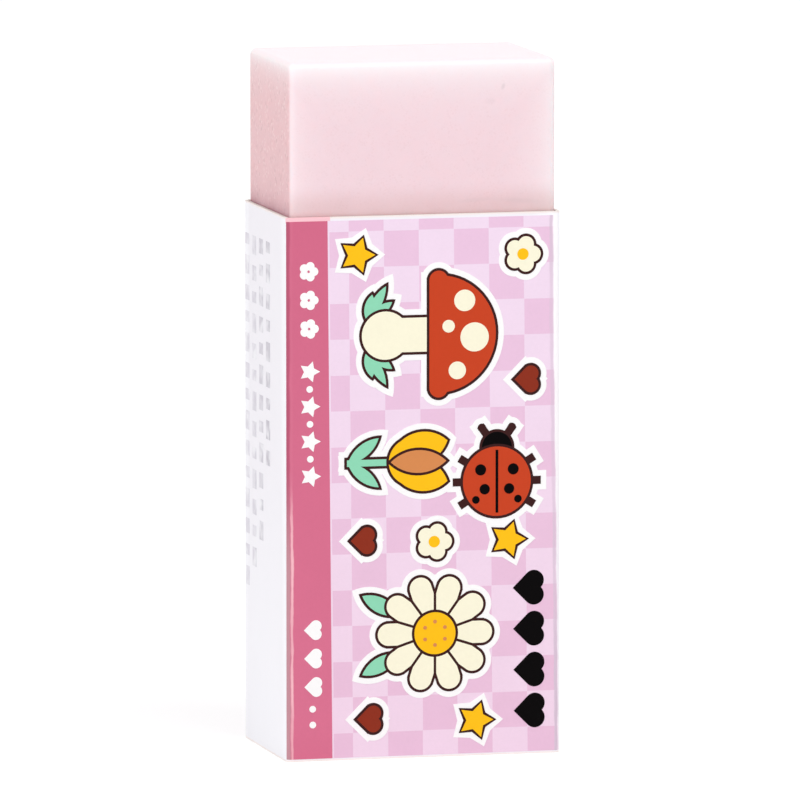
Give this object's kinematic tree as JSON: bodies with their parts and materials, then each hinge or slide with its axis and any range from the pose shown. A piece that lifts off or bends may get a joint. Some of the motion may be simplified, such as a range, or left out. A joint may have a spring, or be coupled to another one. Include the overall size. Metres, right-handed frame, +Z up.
{
  "type": "rubber eraser",
  "caption": "Small rubber eraser block in a printed card sleeve that slides along it.",
  "frame": {"origin": "middle of the foot, at the height of the surface that the eraser stands on", "axes": "+Z up along the eraser, +X across the printed front to the viewer's right, +Y from the printed front to the back"},
  "size_m": [0.0177, 0.0116, 0.044],
  "materials": {
    "sleeve_card": "white coated card, satin",
    "seam_glue": "dried glue film",
    "block_rubber": "soft, faintly translucent, matte",
    "ink_pale_pink": "offset print, satin",
    "ink_mid_pink": "offset print, satin",
    "ink_rose": "offset print, satin",
    "ink_grey": "offset print, satin",
    "ink_white": "offset print, satin",
    "ink_dark_brown": "offset print, satin",
    "ink_black": "offset print, satin",
    "ink_red": "offset print, satin",
    "ink_brown": "offset print, satin",
    "ink_cream": "offset print, satin",
    "ink_yellow": "offset print, satin",
    "ink_mint": "offset print, satin",
    "ink_tan": "offset print, satin"
  },
  "bodies": {
    "sleeve": {"sleeve": "sleeve_card", "seam_glue": "seam_glue", "print_ground": "ink_pale_pink", "print_squares": "ink_mid_pink", "print_stripe": "ink_rose", "print_side_lines": "ink_grey", "print_white": "ink_white", "print_outline": "ink_dark_brown", "print_black": "ink_black", "print_red": "ink_red", "print_brown": "ink_brown", "print_cream": "ink_cream", "print_yellow": "ink_yellow", "print_mint": "ink_mint", "print_tan": "ink_tan"},
    "block": {"block": "block_rubber"}
  },
  "joints": [
    {"name": "block_slide", "type": "slide", "parent": "sleeve", "child": "block", "axis": [0, 0, 1], "range_m": [-0.0097, 0.0243]}
  ]
}
